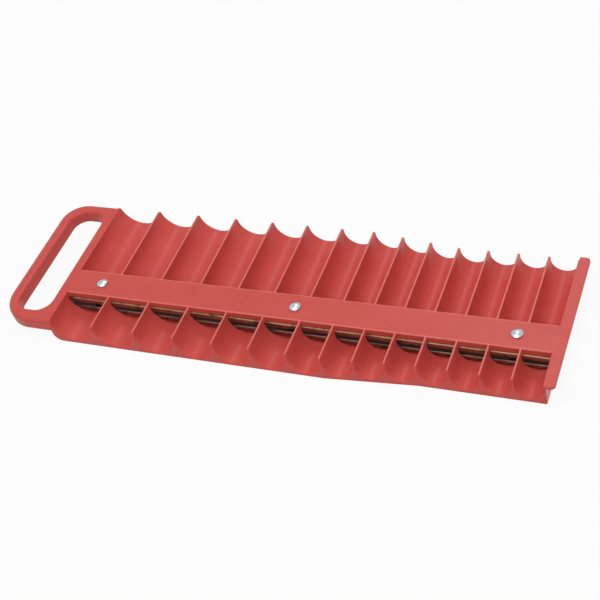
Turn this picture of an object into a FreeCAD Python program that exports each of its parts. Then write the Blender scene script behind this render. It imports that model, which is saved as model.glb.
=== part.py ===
"""Magnetic socket tray: two rows of open troughs, a riveted magnet bar under the middle band, a handle loop.

Frame: +X along the tray from the handle to the end flange, +Y towards the long troughs, +Z up.
The origin is on the resting plane, under the middle of the outline. All lengths are in millimetres.
"""
import FreeCAD, Part
import math
import os

V = FreeCAD.Vector
ALL_CORNERS = ("sw", "se", "ne", "nw")

# --- Driving dimensions -------------------------------------------------------------------------
# Troughs, from the handle end to the flange end. Both rows share these widths.
TROUGH_WIDTHS = [41.2, 39.0, 36.5, 34.6, 32.0, 31.1, 27.7, 25.4, 23.9, 23.5, 23.5, 23.4, 23.3, 22.7]
RIB_THICKNESS = 1.6            # wall between two troughs
WALL = 1.7                     # trough floors, aprons and end walls
HEIGHT = 23.5                  # resting plane to the rib tops
MAX_TROUGH_DEPTH = 21.8        # large troughs, at the band
SHORT_ROW_SINK = 8.4           # how far a small trough's round floor is centred below the rib tops
LONG_ROW_SINK = 7.8
LONG_FLOOR_SLOPE = 2.6         # degrees, the long row's floors rise away from the band
RIB_NOSE_RADIUS = 2.5          # rounding of the rib tops at the open ends
RIB_EDGE_RADIUS = 0.6          # rounding along both sides of each rib top
LIP_RADIUS = 1.8               # rounding of the short troughs' open ends
LIP_START = 12.0               # degrees, where that rounding leaves the trough
LIP_STOP = 70.0                # degrees, where it meets the apron
LIP_OVERLAP = 0.3              # its tool starts this far inside the trough

# Plan of the tray
BAND_WIDTH = 27.8              # flat band between the rows
SHORT_ROW_LENGTH = 36.2        # short row, beside the handle
SHORT_ROW_LENGTH_END = 30.4    # short row, beside the flange
LONG_ROW_LENGTH = 81.5         # long row, beside the handle
LONG_ROW_LENGTH_END = 72.2     # long row, beside the flange
FULL_TROUGH_COUNT = 7          # troughs of full length, from the handle
TAPERED_TROUGH_COUNT = 3       # along these the outer edges run in

# Band, seen from the side
BAND_THICKNESS = 2.2
LIP_DEPTH = 5.3                # lips under both edges of the band
LIP_THICKNESS = 1.8
BAND_EDGE_RADIUS = 1.0         # rounding of the band's edges between the ribs
BOSS_DIAMETER = 13.0           # bosses that seat on the magnet bar, at the rivets
BRIDGE_THICKNESS = 2.0         # cross webs that seat on the magnet bar
BRIDGES_BETWEEN_RIVETS = 3
BRIDGES_AT_ENDS = 1            # between an outer rivet and the end wall

# Magnet bar
BAR_OVERHANG = 1.75            # the bar stands out past both edges of the band, under the lips
PLATE_THICKNESS = 4.2
PLATE_EDGE_RADIUS = 1.0        # upper long edges, drawn in by the shears
MAGNET_THICKNESS = 5.0
PLATE_END_GAP = 0.8            # plates to the end walls
PLATE_SIDE_GAP = 0.6           # plates to the notches in the ribs
MAGNET_INSET = 0.8             # the magnets stand back from the plates' long edges
MAGNET_END_INSET = 0.5
MAGNET_JOINT_GAP = 0.2         # between two magnet blocks
LEDGE_REACH = 2.2              # the short row's floors run this far under the band
LEDGE_CLEARANCE = 0.4          # below the bar
LEDGE_STEP = 0.6               # the floors step down where the bar covers them
MAGNETS_PER_BAY = 4            # blocks between two rivets

# Rivets and washers
RIVET_SPACING = 185.0
SHANK_DIAMETER = 4.8
HEAD_DIAMETER = 9.4
HEAD_HEIGHT = 2.6
HEAD_RIM = 1.2                 # upright edge below the head's dome
TAIL_DIAMETER = 7.6
TAIL_HEIGHT = 1.0
RIVET_HOLE_CLEARANCE = 0.4     # on the diameter
MAGNET_RIVET_CLEARANCE = 1.6   # each side of the shank
WASHER_DIAMETER = 11.0
WASHER_THICKNESS = 0.6

# Handle loop
HANDLE_REACH = 53.5            # first rib to the outside of the loop
HANDLE_BAR = 11.1              # grip bar
HANDLE_SIDE_SHORT = 12.8       # side bar on the short row's side
HANDLE_SIDE_LONG = 10.8        # side bar on the long row's side
LAND_WIDTH = 9.6               # land between the loop's hole and the first rib
HANDLE_THICKNESS = 12.1
HANDLE_CORNER_RADIUS_SHORT = 29.0  # outer corner beside the short row
HANDLE_CORNER_RADIUS_LONG = 23.0
HANDLE_HOLE_RADIUS = 13.0
HANDLE_EDGE_RADIUS = 3.6       # upper edges
HANDLE_LOWER_EDGE_RADIUS = 1.0
HANDLE_SHELL = 2.4             # the loop is hollow from below
HANDLE_WEB_THICKNESS = 1.6
HANDLE_WEBS_PER_BAR = 3

# End flange
FLANGE_REACH = 8.5             # last rib to the outside of the flange
FLANGE_THICKNESS = 2.4
FLANGE_OVERHANG_SHORT = 2.5    # past the short row's end
FLANGE_OVERHANG_LONG = 1.8     # past the long row's end
FLANGE_CORNER_RADIUS = 3.5
FLANGE_EDGE_RADIUS = 0.8

APRON_CORNER_RADIUS = 8.0      # lower corner of the aprons beside the handle
PAST = 5.0                     # how far a cutting tool runs past what it cuts
FAR_PAST = 2 * PAST            # for a tool that must also clear another tool
SAME = 1e-6                    # lengths closer than this are one length
NEAR = 0.01                    # slack when edges are picked by their place

# --- Sizes that follow --------------------------------------------------------------------------
ROW_LENGTH = sum(TROUGH_WIDTHS) + len(TROUGH_WIDTHS) * RIB_THICKNESS
TOTAL_LENGTH = HANDLE_REACH + ROW_LENGTH + FLANGE_REACH
TOTAL_WIDTH = SHORT_ROW_LENGTH + BAND_WIDTH + LONG_ROW_LENGTH
HALF_RIB = RIB_THICKNESS / 2
TAPER_START = FULL_TROUGH_COUNT                # rib where the outer edges start to run in
TAPER_END = TAPER_START + TAPERED_TROUGH_COUNT

X_LOOP = -TOTAL_LENGTH / 2                     # outside of the handle loop
X_FIRST = X_LOOP + HANDLE_REACH                # centre line of the first rib
X_LAST = X_FIRST + ROW_LENGTH                  # centre line of the last rib
X_FLANGE = X_LAST + FLANGE_REACH
X_MIDDLE = (X_FIRST + X_LAST) / 2
X_LEFT_WALL = X_FIRST + HALF_RIB - WALL        # outside of the wall beside the handle
X_RIGHT_WALL = X_LAST - HALF_RIB + WALL        # outside of the wall under the flange

Y_SHORT_END = -TOTAL_WIDTH / 2                 # open ends of the short troughs
Y_BAND_SHORT = Y_SHORT_END + SHORT_ROW_LENGTH
Y_BAND_LONG = Y_BAND_SHORT + BAND_WIDTH
Y_LONG_END = Y_BAND_LONG + LONG_ROW_LENGTH
Y_SHORT_END_RIGHT = Y_BAND_SHORT - SHORT_ROW_LENGTH_END
Y_LONG_END_RIGHT = Y_BAND_LONG + LONG_ROW_LENGTH_END
Y_BAND_MIDDLE = (Y_BAND_SHORT + Y_BAND_LONG) / 2

Z_TOP = HEIGHT
Z_UPPER_PLATE = Z_TOP - LIP_DEPTH              # top of the upper plate, on which the lips sit
Z_MAGNETS = Z_UPPER_PLATE - PLATE_THICKNESS
Z_LOWER_PLATE = Z_MAGNETS - MAGNET_THICKNESS
Z_BAR_BOTTOM = Z_LOWER_PLATE - PLATE_THICKNESS
Z_LEDGE = Z_BAR_BOTTOM - LEDGE_CLEARANCE       # highest point of the floors under the bar

PLATE_X0 = X_FIRST + HALF_RIB + PLATE_END_GAP
PLATE_X1 = X_LAST - HALF_RIB - PLATE_END_GAP
PLATE_Y0 = Y_BAND_SHORT - BAR_OVERHANG
PLATE_Y1 = Y_BAND_LONG + BAR_OVERHANG
Y_NOTCH_SHORT = PLATE_Y0 - PLATE_SIDE_GAP      # the ribs are cut out for the bar from here
Y_NOTCH_LONG = PLATE_Y1 + PLATE_SIDE_GAP
RIVET_XS = [X_MIDDLE - RIVET_SPACING, X_MIDDLE, X_MIDDLE + RIVET_SPACING]
RIVET_HOLE_DIAMETER = SHANK_DIAMETER + RIVET_HOLE_CLEARANCE


def rib_centres():
    """Centre lines of all ribs, from the handle to the flange."""
    xs = [X_FIRST]
    for width in TROUGH_WIDTHS:
        xs.append(xs[-1] + width + RIB_THICKNESS)
    return xs


RIBS = rib_centres()


def trough_depth(width, sink):
    """Depth of a trough at the band: the small ones sit higher than the large ones."""
    return min(width / 2 + sink, MAX_TROUGH_DEPTH)


def box(x0, x1, y0, y1, z0, z1):
    """Box between two corners."""
    return Part.makeBox(x1 - x0, y1 - y0, z1 - z0, V(x0, y0, z0))


def wire_face(edges):
    """Face inside a closed run of edges."""
    return Part.Face(Part.Wire(Part.__sortEdges__(edges)))


def arc_edge(centre_x, centre_z, radius, start, end, y):
    """Arc in a plane of constant y, between two angles in radians."""
    points = []
    for angle in (start, (start + end) / 2, end):
        points.append(V(centre_x + radius * math.cos(angle), y, centre_z + radius * math.sin(angle)))
    return Part.Arc(*points).toShape()


def line_edge(x0, z0, x1, z1, y):
    """Straight edge in a plane of constant y."""
    return Part.LineSegment(V(x0, y, z0), V(x1, y, z1)).toShape()


def u_face(x0, x1, floor_z, side_x0, side_x1, top_z, y):
    """U-shaped section across a trough: straight sides on a half circle.

    The half circle touches x0 and x1. Sides that stand further in, at side_x0 and side_x1, cut it short.
    """
    radius = (x1 - x0) / 2
    centre_x = (x0 + x1) / 2
    centre_z = floor_z + radius
    start = math.pi + math.acos(min(1, (centre_x - side_x0) / radius))
    end = math.pi * 2 - math.acos(min(1, (side_x1 - centre_x) / radius))
    edges = [line_edge(side_x0, top_z, side_x0, centre_z + radius * math.sin(start), y)]
    edges.append(arc_edge(centre_x, centre_z, radius, start, end, y))
    edges.append(line_edge(side_x1, centre_z + radius * math.sin(end), side_x1, top_z, y))
    edges.append(line_edge(side_x1, top_z, side_x0, top_z, y))
    return wire_face(edges)


def trough_tool(index, sink, y0, y1, slope):
    """Solid that cuts one trough: U section along y, tilted by slope degrees about the band's edge."""
    width = TROUGH_WIDTHS[index]
    x0 = RIBS[index] + HALF_RIB
    floor_z = Z_TOP - trough_depth(width, sink)
    face = u_face(x0, x0 + width, floor_z, x0, x0 + width, Z_TOP + FAR_PAST, y0)
    return tilted(face.extrude(V(0, y1 - y0, 0)), slope)


def trough_shell(index, sink, y0, y1, slope):
    """Solid stock around one trough, between the centre lines of its ribs and one wall below its floor."""
    width = TROUGH_WIDTHS[index]
    x0 = RIBS[index] + HALF_RIB
    floor_z = Z_TOP - trough_depth(width, sink)
    left = X_LEFT_WALL if index == 0 else RIBS[index]
    right = X_RIGHT_WALL if index == len(TROUGH_WIDTHS) - 1 else RIBS[index + 1]
    face = u_face(x0 - WALL, x0 + width + WALL, floor_z - WALL, left, right, Z_TOP + PAST, y0)
    return tilted(face.extrude(V(0, y1 - y0, 0)), slope)


def lip_face(x, y, z, radius, side):
    """Level section of the tool that rounds a trough's open end; side is 1 on the right, -1 on the left."""
    first, last = math.radians(LIP_START), math.radians(LIP_STOP)
    points = []
    for angle in (first, (first + last) / 2, last):
        points.append((radius + LIP_RADIUS * (1 - math.cos(angle)), LIP_RADIUS * (1 - math.sin(angle))))
    start, stop = points[0], points[-1]
    inner = radius - LIP_OVERLAP
    back = start[1] + (start[0] - inner) / math.tan(first)
    front = stop[0] + (stop[1] + PAST) * math.tan(last)
    rest = [stop, (front, -PAST), (inner, -PAST), (inner, back), start]
    arc = [V(x + side * out, y + inward, z) for out, inward in points]
    line = [V(x + side * out, y + inward, z) for out, inward in rest]
    edges = [Part.Arc(*arc).toShape()]
    edges += [Part.LineSegment(a, b).toShape() for a, b in zip(line, line[1:])]
    return wire_face(edges)


def lip_tools(index, sink, y_outer, y_outer_right):
    """Solids that round one trough's open end: an upright piece on each side and a half ring below."""
    radius = TROUGH_WIDTHS[index] / 2
    x = RIBS[index] + HALF_RIB + radius
    z = Z_TOP - trough_depth(2 * radius, sink) + radius
    run = RIBS[TAPER_END] - RIBS[TAPER_START]
    share = min(1, max(0, (x - RIBS[TAPER_START]) / run))
    y = y_outer + (y_outer_right - y_outer) * share
    faces = [lip_face(x, y, z, radius, side) for side in (1, -1)]
    tools = [face.extrude(V(0, 0, Z_TOP + PAST - z)) for face in faces]
    tools.append(faces[0].revolve(V(x, y, z), V(0, 1, 0), math.degrees(math.pi)))
    if 0 < share < 1:
        turn = math.degrees(math.atan2(y_outer_right - y_outer, run))
        for tool in tools:
            tool.rotate(V(x, y, z), V(0, 0, 1), turn)
    return tools


def ledge_tool(index, sink, reach):
    """Solid that sinks one short trough's floor by a small step where the magnet bar covers it."""
    radius = TROUGH_WIDTHS[index] / 2
    x = RIBS[index] + HALF_RIB + radius
    z = Z_TOP - trough_depth(2 * radius, sink) + radius
    y1 = Y_BAND_SHORT + reach + PAST
    run = Part.makeCylinder(radius + LEDGE_STEP, y1 - Y_NOTCH_SHORT, V(x, Y_NOTCH_SHORT, z), V(0, 1, 0))
    return run.common(box(x - radius, x + radius, Y_NOTCH_SHORT, y1, -PAST, Z_LEDGE))


def rib_edge_tool(index, y0, y1):
    """Solid that rounds the rib tops along one trough; it stays level."""
    x0 = RIBS[index] + HALF_RIB
    x1 = x0 + TROUGH_WIDTHS[index]
    r = RIB_EDGE_RADIUS
    low = Z_TOP - r
    high = Z_TOP + PAST
    edges = [arc_edge(x0 - r, low, r, 0, math.pi / 2, y0)]
    edges.append(line_edge(x0 - r, Z_TOP, x0 - r, high, y0))
    edges.append(line_edge(x0 - r, high, x1 + r, high, y0))
    edges.append(line_edge(x1 + r, high, x1 + r, Z_TOP, y0))
    edges.append(arc_edge(x1 + r, low, r, math.pi / 2, math.pi, y0))
    edges.append(line_edge(x1, low, x0, low, y0))
    return wire_face(edges).extrude(V(0, y1 - y0, 0))


def band_edge_tool(index, y_edge, inward):
    """Solid that rounds the band's edge at one trough; inward points from the edge into the band."""
    x0 = RIBS[index] + HALF_RIB
    width = TROUGH_WIDTHS[index]
    r = BAND_EDGE_RADIUS
    ys = sorted((y_edge - inward * PAST, y_edge + inward * r))
    tool = box(x0, x0 + width, ys[0], ys[1], Z_TOP - r, Z_TOP + PAST)
    return tool.cut(Part.makeCylinder(r, width, V(x0, y_edge + inward * r, Z_TOP - r), V(1, 0, 0)))


def tilted(shape, slope):
    """Shape turned about the long edge of the band, so that it rises away from the band."""
    if slope:
        shape.rotate(V(0, Y_BAND_LONG, Z_TOP), V(1, 0, 0), slope)
    return shape


def row_outline(y_inner, y_outer, y_outer_right):
    """Plan of one row as a prism over the full height, with its top outer edges rounded."""
    points = [V(X_LEFT_WALL, y_inner, 0), V(X_LEFT_WALL, y_outer, 0), V(RIBS[TAPER_START], y_outer, 0)]
    points += [V(RIBS[TAPER_END], y_outer_right, 0), V(X_RIGHT_WALL, y_outer_right, 0)]
    points += [V(X_RIGHT_WALL, y_inner, 0), V(X_LEFT_WALL, y_inner, 0)]
    prism = Part.Face(Part.makePolygon(points)).extrude(V(0, 0, Z_TOP))
    outer_edges = []
    for edge in rim_edges(prism, Z_TOP):
        runs_along = abs(edge.Vertexes[0].X - edge.Vertexes[1].X) > NEAR
        if runs_along and abs(edge.CenterOfMass.y - y_inner) > NEAR:
            outer_edges.append(edge)
    return prism.makeFillet(RIB_NOSE_RADIUS, outer_edges)


def apron(y_inner, y_outer, y_outer_right):
    """Thin upright wall under the open ends of a row, down to the resting plane."""
    inward = WALL if y_outer < y_inner else -WALL
    points = [V(X_LEFT_WALL, y_outer, 0), V(RIBS[TAPER_START], y_outer, 0)]
    points += [V(RIBS[TAPER_END], y_outer_right, 0), V(X_RIGHT_WALL, y_outer_right, 0)]
    points += [V(p.x, p.y + inward, 0) for p in reversed(points)]
    points.append(points[0])
    plate = Part.Face(Part.makePolygon(points)).extrude(V(0, 0, Z_TOP))
    corner_edges = [e for e in rim_edges(plate, 0) if abs(e.CenterOfMass.x - X_LEFT_WALL) < NEAR]
    return plate.makeFillet(APRON_CORNER_RADIUS, corner_edges)


def row(sink, y_inner, y_outer, y_outer_right, slope, ledge_reach):
    """One row of troughs: shells, apron and the wall under the flange, with the troughs cut out.

    The short row's floors run on past y_inner by ledge_reach, one step down, under the magnet bar, and its
    open ends are rounded. The long row has a ledge_reach of 0 and neither.
    """
    y0 = min(y_inner, y_outer) - PAST
    y1 = max(y_inner, y_outer) + PAST
    count = len(TROUGH_WIDTHS)
    shells = [trough_shell(i, sink, y0, y1, slope) for i in range(count)]
    wall_y = sorted((y_inner, y_outer_right))
    extras = [apron(y_inner, y_outer, y_outer_right)]
    extras.append(box(X_LAST - HALF_RIB, X_RIGHT_WALL, wall_y[0], wall_y[1], 0, Z_TOP))
    stock = shells[0].multiFuse(shells[1:] + extras)
    outline = row_outline(y_inner, y_outer, y_outer_right)
    if ledge_reach:
        outline = outline.fuse(box(X_LEFT_WALL, X_RIGHT_WALL, y_inner, y_inner + ledge_reach, 0, Z_LEDGE))
    stock = stock.common(outline)
    tools = [trough_tool(i, sink, y0, y1, slope) for i in range(count)]
    tools += [rib_edge_tool(i, y0, y1) for i in range(count)]
    if ledge_reach:
        tools += [ledge_tool(i, sink, ledge_reach) for i in range(count)]
    stock = stock.cut(tools[0].multiFuse(tools[1:]))
    if ledge_reach:
        for i in range(count):
            for tool in lip_tools(i, sink, y_outer, y_outer_right):
                stock = stock.cut(tool)
    return stock


def rounded_plan(x0, x1, y0, y1, radii):
    """Wire round a rectangle; radii gives the rounded corners' radii by name, from sw, se, ne and nw."""
    place = {"sw": (x0, y0, 1, 1), "se": (x1, y0, -1, 1), "ne": (x1, y1, -1, -1), "nw": (x0, y1, 1, -1)}
    runs = []
    for name in ALL_CORNERS:
        x, y, sx, sy = place[name]
        r = radii.get(name, 0)
        along_x = V(x + sx * r, y, 0)
        along_y = V(x, y + sy * r, 0)
        offset = r * (1 - math.sqrt(0.5))
        middle = V(x + sx * offset, y + sy * offset, 0)
        before, after = (along_y, along_x) if name in ("sw", "ne") else (along_x, along_y)
        runs.append((before, middle, after, r))
    edges = []
    for i, (before, middle, after, r) in enumerate(runs):
        if r > 0:
            edges.append(Part.Arc(before, middle, after).toShape())
        following = runs[(i + 1) % len(runs)][0]
        if after.distanceToPoint(following) > SAME:
            edges.append(Part.LineSegment(after, following).toShape())
    return Part.Wire(Part.__sortEdges__(edges))


def plate_from(wire, z0, z1):
    """Plate with the wire's outline between two heights."""
    solid = Part.Face(wire).extrude(V(0, 0, z1 - z0))
    solid.translate(V(0, 0, z0))
    return solid


def rim_edges(solid, z):
    """Edges of a plate that lie at height z."""
    return [e for e in solid.Edges if all(abs(v.Z - z) < SAME for v in e.Vertexes)]


def outer_radii(inward):
    """Radii of the loop's two outer corners, for an outline that lies inward of the loop's own."""
    return {"sw": HANDLE_CORNER_RADIUS_SHORT - inward, "nw": HANDLE_CORNER_RADIUS_LONG - inward}


def handle_loop():
    """Handle loop with its hole, hollow from below."""
    z0 = Z_TOP - HANDLE_THICKNESS
    hole_x0 = X_LOOP + HANDLE_BAR
    hole_x1 = X_FIRST - LAND_WIDTH
    hole_y0 = Y_SHORT_END + HANDLE_SIDE_SHORT
    hole_y1 = Y_LONG_END - HANDLE_SIDE_LONG
    plan = rounded_plan(X_LOOP, X_FIRST, Y_SHORT_END, Y_LONG_END, outer_radii(0))
    loop = plate_from(plan, z0, Z_TOP)
    outer_rim = [e for e in rim_edges(loop, Z_TOP) if e.CenterOfMass.x < X_FIRST - NEAR]
    loop = loop.makeFillet(HANDLE_EDGE_RADIUS, outer_rim)
    lower_rim = [e for e in rim_edges(loop, z0) if e.CenterOfMass.x < X_FIRST - NEAR]
    loop = loop.makeFillet(HANDLE_LOWER_EDGE_RADIUS, lower_rim)
    hole_radii = dict.fromkeys(ALL_CORNERS, HANDLE_HOLE_RADIUS)
    hole = rounded_plan(hole_x0, hole_x1, hole_y0, hole_y1, hole_radii)
    loop = loop.cut(plate_from(hole, z0 - PAST, Z_TOP + PAST))
    hole_rim = [e for e in rim_edges(loop, Z_TOP) if inside(e, hole_x0, hole_x1, hole_y0, hole_y1)]
    loop = loop.makeFillet(HANDLE_EDGE_RADIUS, hole_rim)
    lower_rim = [e for e in rim_edges(loop, z0) if inside(e, hole_x0, hole_x1, hole_y0, hole_y1)]
    loop = loop.makeFillet(HANDLE_LOWER_EDGE_RADIUS, lower_rim)
    return loop.cut(handle_pocket(z0, hole_x0, hole_x1, hole_y0, hole_y1))


def handle_pocket(z0, hole_x0, hole_x1, hole_y0, hole_y1):
    """Solid that hollows the loop from below: a channel round the hole, with cross webs left in it."""
    s = HANDLE_SHELL
    plan = rounded_plan(X_LOOP + s, X_LEFT_WALL, Y_SHORT_END + s, Y_LONG_END - s, outer_radii(s))
    pocket = plate_from(plan, z0 - PAST, Z_TOP - s)
    island_radii = dict.fromkeys(ALL_CORNERS, HANDLE_HOLE_RADIUS + s)
    island = rounded_plan(hole_x0 - s, hole_x1 + s, hole_y0 - s, hole_y1 + s, island_radii)
    pocket = pocket.cut(plate_from(island, z0 - FAR_PAST, Z_TOP))
    half = HANDLE_WEB_THICKNESS / 2
    webs = []
    for y in spread(hole_y0, hole_y1, HANDLE_WEBS_PER_BAR):
        webs.append(box(X_LOOP, hole_x0, y - half, y + half, z0 - PAST, Z_TOP))
    for x in spread(hole_x0, hole_x1, HANDLE_WEBS_PER_BAR):
        webs.append(box(x - half, x + half, Y_SHORT_END, hole_y0, z0 - PAST, Z_TOP))
        webs.append(box(x - half, x + half, hole_y1, Y_LONG_END, z0 - PAST, Z_TOP))
    return pocket.cut(Part.makeCompound(webs))


def inside(edge, x0, x1, y0, y1):
    """Whether an edge lies in a rectangle of the plan."""
    for v in edge.Vertexes:
        if not (x0 - NEAR <= v.X <= x1 + NEAR and y0 - NEAR <= v.Y <= y1 + NEAR):
            return False
    return True


def spread(low, high, count):
    """Evenly spaced places between two ends, the ends left out."""
    step = (high - low) / (count + 1)
    return [low + step * (i + 1) for i in range(count)]


def end_flange():
    """Flat flange past the last rib, rounded at its outer corners."""
    y0 = Y_SHORT_END_RIGHT - FLANGE_OVERHANG_SHORT
    y1 = Y_LONG_END_RIGHT + FLANGE_OVERHANG_LONG
    wire = rounded_plan(X_LAST, X_FLANGE, y0, y1, dict.fromkeys(("se", "ne"), FLANGE_CORNER_RADIUS))
    plate = plate_from(wire, Z_TOP - FLANGE_THICKNESS, Z_TOP)
    outer_rim = [e for e in rim_edges(plate, Z_TOP) if e.CenterOfMass.x > X_LAST + NEAR]
    return plate.makeFillet(FLANGE_EDGE_RADIUS, outer_rim)


def band():
    """Band between the rows: top plate, lips, bosses at the rivets and cross webs on the magnet bar."""
    y0 = Y_BAND_SHORT
    y1 = Y_BAND_LONG
    parts = [box(X_LEFT_WALL, X_RIGHT_WALL, y0, y1, Z_TOP - BAND_THICKNESS, Z_TOP)]
    parts.append(box(X_LEFT_WALL, X_RIGHT_WALL, y0, y0 + LIP_THICKNESS, Z_TOP - LIP_DEPTH, Z_TOP))
    parts.append(box(X_LEFT_WALL, X_RIGHT_WALL, y1 - LIP_THICKNESS, y1, Z_TOP - LIP_DEPTH, Z_TOP))
    parts.append(box(X_LEFT_WALL, X_FIRST + HALF_RIB, y0, y1, Z_BAR_BOTTOM, Z_TOP))
    parts.append(box(X_LAST - HALF_RIB, X_RIGHT_WALL, y0, y1, 0, Z_TOP))
    for x in RIVET_XS:
        parts.append(Part.makeCylinder(BOSS_DIAMETER / 2, LIP_DEPTH, V(x, Y_BAND_MIDDLE, Z_UPPER_PLATE)))
    half = BRIDGE_THICKNESS / 2
    for x in bridge_places():
        parts.append(box(x - half, x + half, y0 + LIP_THICKNESS, y1 - LIP_THICKNESS, Z_UPPER_PLATE, Z_TOP))
    body = parts[0].multiFuse(parts[1:])
    edges = []
    for i in range(len(TROUGH_WIDTHS)):
        edges.append(band_edge_tool(i, y0, 1))
        edges.append(band_edge_tool(i, y1, -1))
    return body.cut(Part.makeCompound(edges))


def bridge_places():
    """Places of the cross webs along the band."""
    places = spread(PLATE_X0, RIVET_XS[0], BRIDGES_AT_ENDS) + spread(RIVET_XS[-1], PLATE_X1, BRIDGES_AT_ENDS)
    for left, right in zip(RIVET_XS, RIVET_XS[1:]):
        places += spread(left, right, BRIDGES_BETWEEN_RIVETS)
    return places


def rivet_hole_tools(z0, z1):
    """Cutters for the rivet holes between two heights."""
    return Part.makeCompound([rivet_hole_tool(x, z0, z1) for x in RIVET_XS])


def rivet_hole_tool(x, z0, z1):
    """Cutter for one rivet hole between two heights."""
    return Part.makeCylinder(RIVET_HOLE_DIAMETER / 2, z1 - z0, V(x, Y_BAND_MIDDLE, z0))


def tray():
    """The moulded tray, one solid."""
    short_ends = (Y_BAND_SHORT, Y_SHORT_END, Y_SHORT_END_RIGHT)
    long_ends = (Y_BAND_LONG, Y_LONG_END, Y_LONG_END_RIGHT)
    short_row = row(SHORT_ROW_SINK, *short_ends, 0, LEDGE_REACH)
    long_row = row(LONG_ROW_SINK, *long_ends, LONG_FLOOR_SLOPE, 0)
    body = band().multiFuse([short_row, long_row, handle_loop(), end_flange()])
    x0 = X_FIRST + HALF_RIB
    x1 = X_LAST - HALF_RIB
    body = body.cut(box(x0, x1, Y_NOTCH_SHORT, Y_NOTCH_LONG, Z_LEDGE, Z_UPPER_PLATE))
    body = body.cut(rivet_hole_tools(0, Z_TOP + PAST))
    return body.removeSplitter()


def pole_plate(z0):
    """Steel strip of the magnet bar with its three rivet holes and rounded upper long edges."""
    strip = box(PLATE_X0, PLATE_X1, PLATE_Y0, PLATE_Y1, z0, z0 + PLATE_THICKNESS)
    rim = rim_edges(strip, z0 + PLATE_THICKNESS)
    strip = strip.makeFillet(PLATE_EDGE_RADIUS, [e for e in rim if e.Length > PLATE_X1 - PLATE_X0 - NEAR])
    return strip.cut(rivet_hole_tools(z0 - PAST, z0 + PLATE_THICKNESS + PAST))


def magnet_spans():
    """Start and end of each magnet block along the tray."""
    room = SHANK_DIAMETER / 2 + MAGNET_RIVET_CLEARANCE
    spans = [(PLATE_X0 + MAGNET_END_INSET, RIVET_XS[0] - room)]
    for left, right in zip(RIVET_XS, RIVET_XS[1:]):
        start = left + room
        block = (right - room - start - (MAGNETS_PER_BAY - 1) * MAGNET_JOINT_GAP) / MAGNETS_PER_BAY
        for i in range(MAGNETS_PER_BAY):
            x0 = start + i * (block + MAGNET_JOINT_GAP)
            spans.append((x0, x0 + block))
    spans.append((RIVET_XS[-1] + room, PLATE_X1 - MAGNET_END_INSET))
    return spans


def magnet(span):
    """One ferrite block between the plates."""
    return box(span[0], span[1], PLATE_Y0 + MAGNET_INSET, PLATE_Y1 - MAGNET_INSET, Z_LOWER_PLATE, Z_MAGNETS)


def washer(x):
    """Flat washer under the lower plate."""
    z0 = Z_BAR_BOTTOM - WASHER_THICKNESS
    ring = Part.makeCylinder(WASHER_DIAMETER / 2, WASHER_THICKNESS, V(x, Y_BAND_MIDDLE, z0))
    return ring.cut(rivet_hole_tool(x, z0 - PAST, Z_BAR_BOTTOM + PAST))


def dome(x, z, diameter, height, up):
    """Cap of a sphere, as a solid, standing on a disc at height z."""
    radius = ((diameter / 2) ** 2 + height ** 2) / (2 * height)
    sign = 1 if up else -1
    ball = Part.makeSphere(radius, V(x, Y_BAND_MIDDLE, z + sign * (height - radius)))
    z0 = z if up else z - height - PAST
    y = Y_BAND_MIDDLE
    keep = box(x - diameter, x + diameter, y - diameter, y + diameter, z0, z0 + height + PAST)
    return ball.common(keep)


def rivet(x):
    """Rivet with a low domed head on the band and a formed tail under the washer."""
    z_tail = Z_BAR_BOTTOM - WASHER_THICKNESS
    shank = Part.makeCylinder(SHANK_DIAMETER / 2, Z_TOP - z_tail, V(x, Y_BAND_MIDDLE, z_tail))
    rim = Part.makeCylinder(HEAD_DIAMETER / 2, HEAD_RIM, V(x, Y_BAND_MIDDLE, Z_TOP))
    head = dome(x, Z_TOP + HEAD_RIM, HEAD_DIAMETER, HEAD_HEIGHT - HEAD_RIM, True)
    tail = dome(x, z_tail, TAIL_DIAMETER, TAIL_HEIGHT, False)
    return shank.multiFuse([rim, head, tail]).removeSplitter()


def build():
    """All nodes by name."""
    nodes = {"moulded_tray": tray()}
    nodes["upper_pole_plate"] = pole_plate(Z_UPPER_PLATE - PLATE_THICKNESS)
    nodes["lower_pole_plate"] = pole_plate(Z_BAR_BOTTOM)
    for i, span in enumerate(magnet_spans(), start=1):
        nodes[f"magnet_block_{i:02d}"] = magnet(span)
    for side, x in zip(("handle", "middle", "flange"), RIVET_XS):
        nodes[f"rivet_{side}"] = rivet(x)
        nodes[f"washer_{side}"] = washer(x)
    return nodes


os.makedirs("parts", exist_ok=True)
for name, shape in build().items():
    shape.exportStep(f"parts/{name}.step")
    state = "valid" if shape.isValid() else "NOT VALID"
    print(name, len(shape.Solids), "solid", round(shape.Volume, 1), "mm3", state)
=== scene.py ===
"""Magnetic socket tray, dressed and lit on a plain pale floor.

A red moulded tray carries wrench sockets in two rows of round-bottomed troughs. A bar of ferrite magnets
between two steel plates lies under the band between the rows, held by three rivets. Each class dresses one
sub-assembly. Sizes in the classes are millimetres, and meshes are in metres.
"""

import logging
import math
from dataclasses import dataclass
from enum import Enum
from typing import Any

import bmesh
import bpy
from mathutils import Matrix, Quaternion, Vector

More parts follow.
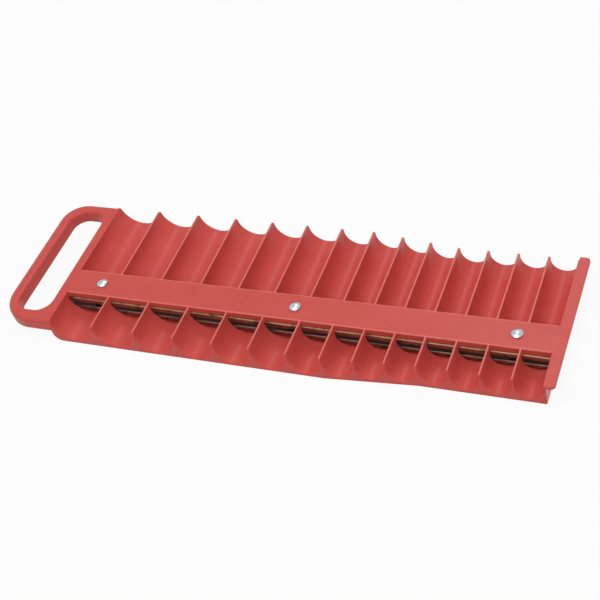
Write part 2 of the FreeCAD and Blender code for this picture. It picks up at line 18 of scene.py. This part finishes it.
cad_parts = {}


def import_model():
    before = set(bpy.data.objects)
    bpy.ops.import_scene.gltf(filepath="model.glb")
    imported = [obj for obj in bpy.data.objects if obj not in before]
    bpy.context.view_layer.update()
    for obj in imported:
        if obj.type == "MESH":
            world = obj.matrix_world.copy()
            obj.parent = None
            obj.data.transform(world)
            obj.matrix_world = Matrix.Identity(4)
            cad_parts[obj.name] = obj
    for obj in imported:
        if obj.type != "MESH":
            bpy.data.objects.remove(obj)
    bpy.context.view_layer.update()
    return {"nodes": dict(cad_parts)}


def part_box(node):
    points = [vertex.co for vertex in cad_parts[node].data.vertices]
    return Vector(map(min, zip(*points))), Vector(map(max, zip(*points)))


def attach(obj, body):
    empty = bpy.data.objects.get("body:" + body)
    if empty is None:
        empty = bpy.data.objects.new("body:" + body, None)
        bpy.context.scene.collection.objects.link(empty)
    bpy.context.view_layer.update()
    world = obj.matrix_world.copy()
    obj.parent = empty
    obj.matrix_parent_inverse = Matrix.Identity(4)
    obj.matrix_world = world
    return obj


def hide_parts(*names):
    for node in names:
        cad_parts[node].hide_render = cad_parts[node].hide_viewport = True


LOG = logging.getLogger("socket_tray")
MM = 0.001
BODY = "root"
RIVET_PLACES = ("handle", "middle", "flange")
SAME_POINT_M = 1e-7
SHARP_EDGE_DEG = 35
FULL_TURN_DEG = 360
NOISE_MIDDLE = (0.3, 0.7)


def linear(hex_colour: str) -> tuple[float, float, float, float]:
    """Turns an sRGB hex colour to linear.

    Args:
        hex_colour: a colour such as "#B93A33".

    Returns:
        Red, green, blue and an alpha of 1.
    """
    channels = [int(hex_colour[i : i + 2], 16) / 255 for i in (1, 3, 5)]
    low_slope, knee, offset, power = 12.92, 0.04045, 0.055, 2.4
    red, green, blue = (
        c / low_slope if c <= knee else ((c + offset) / (1 + offset)) ** power for c in channels
    )
    return red, green, blue, 1.0


def add_node(
    tree: bpy.types.NodeTree,
    kind: str,
    settings: dict[str, Any] | None = None,
    values: dict[str | int, Any] | None = None,
    links: dict[str | int, bpy.types.NodeSocket] | None = None,
) -> bpy.types.Node:
    """Adds one node to a tree.

    Args:
        tree: the node tree that gets the node.
        kind: the node's type name without its "ShaderNode" prefix.
        settings: the node's own properties.
        values: unlinked input sockets and what they hold.
        links: input sockets and the output sockets that feed them.

    Returns:
        The new node.
    """
    node = tree.nodes.new("ShaderNode" + kind)
    for name, value in (settings or {}).items():
        setattr(node, name, value)
    for name, value in (values or {}).items():
        node.inputs[name].default_value = value
    for name, source in (links or {}).items():
        tree.links.new(source, node.inputs[name])
    return node


def ramp(
    tree: bpy.types.NodeTree, factor: bpy.types.NodeSocket, stops: list[tuple[float, str]]
) -> bpy.types.NodeSocket:
    """Colours a factor by a ramp of sRGB hex stops.

    Args:
        tree: the node tree.
        factor: what the ramp reads.
        stops: places from 0 to 1 with their colours, in order.

    Returns:
        The ramp's colour output.
    """
    node = add_node(tree, "ValToRGB", links={"Fac": factor})
    elements = node.color_ramp.elements
    while len(elements) < len(stops):
        elements.new(1.0)
    for element, (place, colour) in zip(elements, stops):
        element.position = place
        element.color = linear(colour)
    return node.outputs["Color"]


def start_material(name: str) -> tuple[bpy.types.Material, bpy.types.Node, bpy.types.NodeSocket]:
    """Makes a material with a Principled shader.

    Args:
        name: the material's name.

    Returns:
        The material, its Principled node and the object coordinates, which are in metres.
    """
    material = bpy.data.materials.new(name)
    material.use_nodes = True
    tree = material.node_tree
    shader = tree.nodes["Principled BSDF"]
    place = add_node(tree, "TexCoord").outputs["Object"]
    return material, shader, place


def stretched(
    tree: bpy.types.NodeTree, place: bpy.types.NodeSocket, grain_mm: tuple[float, float, float]
) -> bpy.types.NodeSocket:
    """Scales coordinates so that one unit of noise is a grain of a real size.

    Args:
        tree: the node tree.
        place: coordinates in metres.
        grain_mm: the grain's size along X, Y and Z.

    Returns:
        The scaled coordinates.
    """
    scale = [1 / (size * MM) for size in grain_mm]
    mapping = add_node(tree, "Mapping", values={"Scale": scale}, links={"Vector": place})
    return mapping.outputs["Vector"]


def noise(
    tree: bpy.types.NodeTree,
    place: bpy.types.NodeSocket,
    grain_mm: tuple[float, float, float],
    detail: float,
) -> bpy.types.NodeSocket:
    """Adds noise of a real size.

    Args:
        tree: the node tree.
        place: coordinates in metres.
        grain_mm: the grain's size along X, Y and Z.
        detail: octaves of finer noise.

    Returns:
        The noise, about 0.5 on average.
    """
    vector = stretched(tree, place, grain_mm)
    node = add_node(tree, "TexNoise", values={"Scale": 1.0, "Detail": detail}, links={"Vector": vector})
    return node.outputs["Fac"]


def between(
    tree: bpy.types.NodeTree, factor: bpy.types.NodeSocket, low: float, high: float
) -> bpy.types.NodeSocket:
    """Stretches the middle of a noise over a range.

    Args:
        tree: the node tree.
        factor: the noise.
        low: the result where the noise is weak.
        high: the result where the noise is strong.

    Returns:
        The stretched value.
    """
    weak, strong = NOISE_MIDDLE
    values = {"From Min": weak, "From Max": strong, "To Min": low, "To Max": high}
    return add_node(tree, "MapRange", values=values, links={"Value": factor}).outputs["Result"]


def relief(
    tree: bpy.types.NodeTree,
    shader: bpy.types.Node,
    height: bpy.types.NodeSocket,
    height_mm: float,
    strength: float,
) -> None:
    """Gives a shader a fine relief.

    Args:
        tree: the node tree.
        shader: the shader whose normal is bumped.
        height: the relief's height, from 0 to 1.
        height_mm: its full height.
        strength: how much of it shows, from 0 to 1.
    """
    values = {"Strength": strength, "Distance": height_mm * MM}
    bump = add_node(tree, "Bump", values=values, links={"Height": height})
    tree.links.new(bump.outputs["Normal"], shader.inputs["Normal"])


@dataclass(frozen=True)
class MouldedRed:
    """High-impact polystyrene, injection-moulded in a lightly spark-eroded mould: a satin, even red.

    Thin edges let a little light through. The rib tops and the band's long edges are a painted highlight,
    paler than the rest.
    """

    colour: str = "#DA5A53"
    pale: str = "#DD5E57"
    deep: str = "#D7564F"
    edge_highlight: str = "#EA7E72"
    highlight_heights_mm: tuple[float, float] = (22.6, 23.3)
    rows_middle_mm: tuple[float, float] = (22.5, -22.65)
    rows_half_length_mm: float = 213.6
    band_half_width_mm: float = 12.7
    ior: float = 1.59
    gloss: float = 0.13
    roughness: tuple[float, float] = (0.29, 0.35)
    flow_mm: tuple[float, float, float] = (60.0, 25.0, 25.0)
    mottle_mm: tuple[float, float, float] = (3.0, 3.0, 3.0)
    erosion_mm: tuple[float, float, float] = (0.7, 0.7, 0.7)
    erosion_height_mm: float = 0.004
    erosion_strength: float = 0.5
    glow: float = 0.3
    glow_depth_mm: float = 1.8
    glow_shares: tuple[float, float, float] = (1.0, 0.25, 0.12)
    stops: tuple[float, float, float] = (0.35, 0.5, 0.65)
    flow_detail: float = 2.0
    mottle_detail: float = 3.0
    erosion_detail: float = 2.0

    def material(self) -> bpy.types.Material:
        """Builds the material: flow and mottle vary the colour, a painted highlight pales the rib tops and
        band edges, the eroded grain is a fine relief.
        """
        material, shader, place = start_material("moulded_red")
        tree = material.node_tree
        flow = noise(tree, place, self.flow_mm, self.flow_detail)
        mottle = noise(tree, place, self.mottle_mm, self.mottle_detail)
        both = add_node(tree, "Math", {"operation": "ADD"}, links={0: flow, 1: mottle}).outputs[0]
        half = add_node(tree, "Math", {"operation": "MULTIPLY"}, {1: 0.5}, {0: both}).outputs[0]
        stops = list(zip(self.stops, (self.deep, self.colour, self.pale)))
        links = {0: self.edge_highlight_mask(tree, place), 6: ramp(tree, half, stops)}
        # The rib tops and the band's long edges take a paler colour: a painted highlight.
        highlighted = add_node(tree, "Mix", {"data_type": "RGBA"}, {7: linear(self.edge_highlight)}, links)
        tree.links.new(highlighted.outputs[2], shader.inputs["Base Color"])
        tree.links.new(between(tree, mottle, *self.roughness), shader.inputs["Roughness"])
        erosion = noise(tree, place, self.erosion_mm, self.erosion_detail)
        relief(tree, shader, erosion, self.erosion_height_mm, self.erosion_strength)
        shader.inputs["IOR"].default_value = self.ior
        shader.inputs["Specular IOR Level"].default_value = self.gloss
        shader.inputs["Subsurface Weight"].default_value = self.glow
        shader.inputs["Subsurface Radius"].default_value = self.glow_shares
        shader.inputs["Subsurface Scale"].default_value = self.glow_depth_mm * MM
        return material

    def edge_highlight_mask(self, tree: bpy.types.NodeTree, place: bpy.types.NodeSocket) -> bpy.types.NodeSocket:
        """Marks the tops of the ribs and of the band's long edges, which get a painted highlight.

        Args:
            tree: the node tree.
            place: coordinates in metres.

        Returns:
            1 on the rib tops and the band's long edges, and 0 elsewhere.
        """
        x, y, z = add_node(tree, "SeparateXYZ", links={0: place}).outputs
        low, high = (height * MM for height in self.highlight_heights_mm)
        values = {"From Min": low, "From Max": high}
        top = add_node(tree, "MapRange", values=values, links={"Value": z}).outputs[0]
        middle_x, middle_y = (middle * MM for middle in self.rows_middle_mm)
        inside = {"operation": "COMPARE"}
        values = {1: middle_x, 2: self.rows_half_length_mm * MM}
        along = add_node(tree, "Math", inside, values, {0: x}).outputs[0]
        values = {1: middle_y, 2: self.band_half_width_mm * MM}
        band = add_node(tree, "Math", inside, values, {0: y}).outputs[0]
        outside = {"operation": "SUBTRACT", "use_clamp": True}
        rows = add_node(tree, "Math", outside, links={0: along, 1: band}).outputs[0]
        return add_node(tree, "Math", {"operation": "MULTIPLY"}, links={0: top, 1: rows}).outputs[0]


@dataclass(frozen=True)
class YellowZincSteel:
    """Cold-rolled mild steel strip, zinc plated and yellow passivated: brownish, with pink patches."""

    name: str = "yellow_zinc_steel"
    gold: str = "#9C7A60"
    pink: str = "#8A6351"
    dull: str = "#63493C"
    roughness: tuple[float, float] = (0.38, 0.50)
    patch_mm: tuple[float, float, float] = (14.0, 9.0, 6.0)
    shear_mm: tuple[float, float, float] = (0.5, 0.5, 4.0)
    shear_height_mm: float = 0.03
    shear_strength: float = 0.6
    stops: tuple[float, float, float] = (0.36, 0.48, 0.62)
    patch_detail: float = 4.0
    shear_detail: float = 3.0

    def material(self) -> bpy.types.Material:
        """Builds the material: patches of passivation tint, and the sheared edge as upright streaks."""
        material, shader, place = start_material(self.name)
        tree = material.node_tree
        patches = noise(tree, place, self.patch_mm, self.patch_detail)
        stops = list(zip(self.stops, (self.dull, self.gold, self.pink)))
        tree.links.new(ramp(tree, patches, stops), shader.inputs["Base Color"])
        shear = noise(tree, place, self.shear_mm, self.shear_detail)
        tree.links.new(between(tree, shear, *self.roughness), shader.inputs["Roughness"])
        relief(tree, shader, shear, self.shear_height_mm, self.shear_strength)
        shader.inputs["Metallic"].default_value = 1.0
        return material


@dataclass(frozen=True)
class SinteredFerrite:
    """Strontium ferrite, pressed and sintered: a dull charcoal with a ground, slightly grainy face."""

    colour: str = "#1E1C1A"
    pale: str = "#2B2926"
    roughness: tuple[float, float] = (0.60, 0.80)
    grain_mm: tuple[float, float, float] = (0.6, 0.6, 0.6)
    grain_height_mm: float = 0.05
    grain_strength: float = 0.5
    grain_detail: float = 5.0
    stops: tuple[float, float] = (0.4, 0.65)

    def material(self) -> bpy.types.Material:
        """Builds the material: one coarse grain drives its colour, gloss and relief."""
        material, shader, place = start_material("sintered_ferrite")
        tree = material.node_tree
        grain = noise(tree, place, self.grain_mm, self.grain_detail)
        stops = list(zip(self.stops, (self.colour, self.pale)))
        tree.links.new(ramp(tree, grain, stops), shader.inputs["Base Color"])
        tree.links.new(between(tree, grain, *self.roughness), shader.inputs["Roughness"])
        relief(tree, shader, grain, self.grain_height_mm, self.grain_strength)
        return material


@dataclass(frozen=True)
class BrightMetal:
    """Metal fastener with a bright formed surface: aluminium for rivets, zinc-plated steel for washers."""

    name: str
    colour: str
    dull: str
    roughness: tuple[float, float]
    scuff_mm: tuple[float, float, float] = (1.6, 1.6, 1.6)
    scuff_height_mm: float = 0.02
    scuff_strength: float = 0.3
    scuff_detail: float = 4.0
    stops: tuple[float, float] = (0.35, 0.6)

    def material(self) -> bpy.types.Material:
        """Builds the material: faint scuffs vary the colour, gloss and relief."""
        material, shader, place = start_material(self.name)
        tree = material.node_tree
        scuffs = noise(tree, place, self.scuff_mm, self.scuff_detail)
        stops = list(zip(self.stops, (self.dull, self.colour)))
        tree.links.new(ramp(tree, scuffs, stops), shader.inputs["Base Color"])
        tree.links.new(between(tree, scuffs, *self.roughness), shader.inputs["Roughness"])
        relief(tree, shader, scuffs, self.scuff_height_mm, self.scuff_strength)
        shader.inputs["Metallic"].default_value = 1.0
        return material


class Slot(Enum):
    """The record's material slots."""

    RED = "red_plastic"
    STEEL = "zinc_yellow_steel"
    FERRITE = "ferrite"
    RIVET = "rivet_aluminium"
    WASHER = "washer_steel"


def dress(node: bpy.types.Object, material: bpy.types.Material) -> None:
    """Gives a solid of the frame its finish.

    Args:
        node: the solid's object.
        material: its finish.
    """
    node.data.materials.clear()
    node.data.materials.append(material)
    LOG.info("%s dressed with %s", node.name, material.name)


def finished_piece(
    name: str, form: bmesh.types.BMesh, material: bpy.types.Material
) -> bpy.types.Object:
    """Turns a bmesh into a piece that rides on the tray.

    Args:
        name: the piece's name.
        form: the mesh, in metres, already in its place. It is freed.
        material: its finish.

    Returns:
        The new object.
    """
    bmesh.ops.remove_doubles(form, verts=form.verts, dist=SAME_POINT_M)
    bmesh.ops.recalc_face_normals(form, faces=form.faces)
    mesh = bpy.data.meshes.new(name)
    form.to_mesh(mesh)
    form.free()
    mesh.shade_smooth()
    mesh.set_sharp_from_angle(angle=math.radians(SHARP_EDGE_DEG))
    mesh.materials.append(material)
    piece = bpy.data.objects.new(name, mesh)
    bpy.context.scene.collection.objects.link(piece)
    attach(piece, BODY)
    LOG.info("%s made, %d faces", name, len(mesh.polygons))
    return piece


@dataclass
class Tray:
    """The moulded tray: troughs, band, handle loop and end flange in one piece."""

    finish: MouldedRed = MouldedRed()

    def dress(self, nodes: dict[str, bpy.types.Object]) -> None:
        """Dresses the tray's solid.

        Args:
            nodes: the frame's solids by name.
        """
        dress(nodes["moulded_tray"], self.finish.material())


@dataclass
class MagnetBar:
    """Ferrite blocks between two steel plates; the lower plate has a darker copy of the steel, painted shade
    for its place deeper under the band.
    """

    upper_finish: YellowZincSteel = YellowZincSteel()
    # The lower plate's darker colours are painted shade on the same steel.
    lower_shaded_finish: YellowZincSteel = YellowZincSteel("shaded_zinc_steel", "#8A6C5E", "#80605A", "#5C463E")
    magnet_finish: SinteredFerrite = SinteredFerrite()

    def dress(self, nodes: dict[str, bpy.types.Object]) -> None:
        """Dresses the plates and the magnets.

        Args:
            nodes: the frame's solids by name.
        """
        dress(nodes["upper_pole_plate"], self.upper_finish.material())
        dress(nodes["lower_pole_plate"], self.lower_shaded_finish.material())
        ferrite = self.magnet_finish.material()
        for name, node in nodes.items():
            if name.startswith("magnet_block"):
                dress(node, ferrite)


@dataclass
class Rivets:
    """Three rivets through the band and the magnet bar, each with a washer under the bar.

    Each rivet is turned about its own axis: a low domed head on a rim that draws in below, the shank, and a
    flatter tail formed under the washer. The solids give its heights and its place.
    """

    head_diameter: float = 9.4
    head_height: float = 2.6
    head_rim: float = 1.2
    shank_diameter: float = 4.8
    tail_diameter: float = 7.6
    tail_height: float = 1.0
    tail_rim: float = 0.3
    rim_draw_in: float = 0.5
    steps: int = 64
    dome_steps: int = 12
    rivet_finish: BrightMetal = BrightMetal("bright_aluminium", "#B9C0C6", "#AFB7BE", (0.16, 0.22))
    washer_finish: BrightMetal = BrightMetal("zinc_plated_steel", "#BFC4C8", "#9FA4A8", (0.28, 0.42))

    def build(self, nodes: dict[str, bpy.types.Object]) -> None:
        """Turns the rivets and dresses the washers.

        Args:
            nodes: the frame's solids by name.
        """
        aluminium = self.rivet_finish.material()
        zinc = self.washer_finish.material()
        for place in RIVET_PLACES:
            dress(nodes["washer_" + place], zinc)
            low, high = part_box("rivet_" + place)
            middle = (Vector(low) + Vector(high)) / 2
            form = self.turned(low[2] / MM, high[2] / MM)
            bmesh.ops.translate(form, verts=form.verts, vec=(middle.x, middle.y, 0))
            piece = finished_piece("turned_rivet_" + place, form, aluminium)
            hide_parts("rivet_" + place)

    def turned(self, bottom: float, top: float) -> bmesh.types.BMesh:
        """Turns one rivet about the Z axis.

        Args:
            bottom: the lowest point of the tail.
            top: the highest point of the head.

        Returns:
            The closed rivet.
        """
        head_seat = top - self.head_height
        tail_seat = bottom + self.tail_height
        head = self.cap(self.head_diameter / 2, self.head_height, self.head_rim)
        tail = self.cap(self.tail_diameter / 2, self.tail_height, self.tail_rim)
        shank = self.shank_diameter / 2
        outline = [(r, head_seat + z) for r, z in head] + [(shank, head_seat), (shank, tail_seat)]
        outline += [(r, tail_seat - z) for r, z in reversed(tail)]
        form = bmesh.new()
        verts = [form.verts.new((r * MM, 0, z * MM)) for r, z in outline]
        edges = [form.edges.new(pair) for pair in zip(verts, verts[1:])]
        turn = math.radians(FULL_TURN_DEG)
        axis, centre = (0, 0, 1), (0, 0, 0)
        bmesh.ops.spin(
            form, geom=verts + edges, cent=centre, axis=axis, angle=turn, steps=self.steps, use_merge=True
        )
        return form

    def cap(self, radius: float, height: float, rim: float) -> list[tuple[float, float]]:
        """Draws a low dome on a rim that draws in below, from its middle to its seat.

        Args:
            radius: half its diameter.
            height: from its seat to its top.
            rim: the height of the rim.

        Returns:
            Radii and heights above the seat.
        """
        rise = height - rim
        ball = (radius**2 + rise**2) / (2 * rise)
        widest = math.asin(radius / ball)
        angles = [widest * i / self.dome_steps for i in range(self.dome_steps + 1)]
        dome = [(ball * math.sin(a), height - ball * (1 - math.cos(a))) for a in angles]
        return dome + [(radius - self.rim_draw_in, 0.0)]


def seen_directly(tree: bpy.types.NodeTree) -> bpy.types.NodeSocket:
    """Tells the rays of the camera, of reflections and of clear things from the rays that light the tray.

    Args:
        tree: the node tree.

    Returns:
        1 for a ray that shows the surroundings, and 0 for one that lights a surface.
    """
    rays = add_node(tree, "LightPath").outputs
    links = {0: rays["Is Camera Ray"], 1: rays["Is Glossy Ray"]}
    seen = add_node(tree, "Math", {"operation": "MAXIMUM"}, links=links).outputs[0]
    links = {0: seen, 1: rays["Is Transmission Ray"]}
    return add_node(tree, "Math", {"operation": "MAXIMUM"}, links=links).outputs[0]


@dataclass
class Lamp:
    """A large square softbox that faces the tray.

    Attributes:
        name: the lamp's name.
        toward: the direction from the tray to the lamp.
        distance_mm: how far away it is.
        side_mm: its side.
        watts: its power.
    """

    name: str
    toward: tuple[float, float, float]
    distance_mm: float
    side_mm: float
    watts: float

    def hang(self) -> None:
        """Adds the lamp to the scene."""
        data = bpy.data.lights.new(self.name, "AREA")
        data.shape = "SQUARE"
        data.size = self.side_mm * MM
        data.energy = self.watts
        lamp = bpy.data.objects.new(self.name, data)
        direction = Vector(self.toward).normalized()
        lamp.location = direction * self.distance_mm * MM
        lamp.rotation_mode = "QUATERNION"
        lamp.rotation_quaternion = (-direction).to_track_quat("-Z", "Y")
        bpy.context.scene.collection.objects.link(lamp)


@dataclass
class Studio:
    """Pale floor, white surroundings, soft lamps and the camera."""

    floor_side_mm: float = 12000.0
    floor_drop_mm: float = 0.05
    floor_colour: str = "#F4F4F4"
    floor_roughness: float = 0.9
    floor_paleness: float = 0.93
    sky_strength: float = 0.26
    lamps: tuple[Lamp, ...] = (
        Lamp("key_lamp", (-0.15, -0.15, 0.97), 4000.0, 2800.0, 60.0),
        Lamp("fill_lamp", (0.80, -0.20, 0.56), 4000.0, 2200.0, 25.0),
        Lamp("front_lamp", (0.30, -0.60, 0.74), 4000.0, 2200.0, 12.0),
        Lamp("streak_lamp", (-0.10, 0.61, 0.79), 4000.0, 1200.0, 21.0),
    )
    camera_mm: tuple[float, float, float] = (413.8, -618.1, 731.6)
    aim_mm: tuple[float, float, float] = (23.67, -14.23, 23.4)
    roll_deg: float = 17.605
    lens_mm: float = 73.534
    sensor_mm: float = 36.0
    near_mm: float = 10.0
    far_mm: float = 50000.0

    def build(self) -> None:
        """Sets the floor, the surroundings, the lamps and the camera up."""
        self.lay_floor()
        self.paint_world()
        for lamp in self.lamps:
            lamp.hang()
        self.place_camera()
        bpy.context.scene.view_settings.view_transform = "Standard"

    def lay_floor(self) -> None:
        """Lays a plain floor just under the tray; its front side only is seen."""
        form = bmesh.new()
        half = self.floor_side_mm * MM / 2
        bmesh.ops.create_grid(form, x_segments=1, y_segments=1, size=half)
        bmesh.ops.translate(form, verts=form.verts, vec=(0, 0, -self.floor_drop_mm * MM))
        mesh = bpy.data.meshes.new("floor")
        form.to_mesh(mesh)
        form.free()
        mesh.materials.append(self.floor_material())
        floor = bpy.data.objects.new("floor", mesh)
        bpy.context.scene.collection.objects.link(floor)

    def floor_material(self) -> bpy.types.Material:
        """Builds the floor's finish: matt and nearly white, and clear when seen from below."""
        material, shader, _ = start_material("pale_floor")
        tree = material.node_tree
        shader.inputs["Base Color"].default_value = linear(self.floor_colour)
        shader.inputs["Roughness"].default_value = self.floor_roughness
        shader.inputs["Specular IOR Level"].default_value = 0.0
        seen = seen_directly(tree)
        values = {1: self.floor_paleness}
        paler = add_node(tree, "Math", {"operation": "MULTIPLY"}, values, {0: seen}).outputs[0]
        white = add_node(tree, "Emission").outputs[0]
        pale = add_node(tree, "MixShader", links={0: paler, 1: shader.outputs[0], 2: white}).outputs[0]
        below = add_node(tree, "NewGeometry").outputs["Backfacing"]
        clear = add_node(tree, "BsdfTransparent").outputs[0]
        mixed = add_node(tree, "MixShader", links={0: below, 1: pale, 2: clear})
        tree.links.new(mixed.outputs[0], tree.nodes["Material Output"].inputs["Surface"])
        return material

    def paint_world(self) -> None:
        """Makes the surroundings white to the camera and in reflections, and softer as a source of light."""
        world = bpy.data.worlds.new("surroundings")
        world.use_nodes = True
        tree = world.node_tree
        background = tree.nodes["Background"]
        background.inputs["Color"].default_value = (1.0, 1.0, 1.0, 1.0)
        values = {"To Min": self.sky_strength, "To Max": 1.0}
        links = {"Value": seen_directly(tree)}
        strength = add_node(tree, "MapRange", values=values, links=links).outputs["Result"]
        tree.links.new(strength, background.inputs["Strength"])
        bpy.context.scene.world = world

    def place_camera(self) -> None:
        """Places the camera above the flange's corner of the tray, tilted to the side."""
        data = bpy.data.cameras.new("camera")
        data.lens = self.lens_mm
        data.sensor_width = self.sensor_mm
        data.clip_start = self.near_mm * MM
        data.clip_end = self.far_mm * MM
        camera = bpy.data.objects.new("camera", data)
        eye = Vector(self.camera_mm) * MM
        look = (Vector(self.aim_mm) * MM - eye).normalized()
        camera.location = eye
        camera.rotation_mode = "QUATERNION"
        level = look.to_track_quat("-Z", "Y")
        camera.rotation_quaternion = Quaternion(look, math.radians(self.roll_deg)) @ level
        bpy.context.scene.collection.objects.link(camera)
        bpy.context.scene.camera = camera


def main() -> None:
    """Builds the studio and every sub-assembly."""
    logging.basicConfig(level=logging.INFO, format="%(name)s: %(message)s")
    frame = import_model()
    Studio().build()
    nodes = frame["nodes"]
    Tray().dress(nodes)
    MagnetBar().dress(nodes)
    Rivets().build(nodes)


if __name__ == "__main__":
    main()
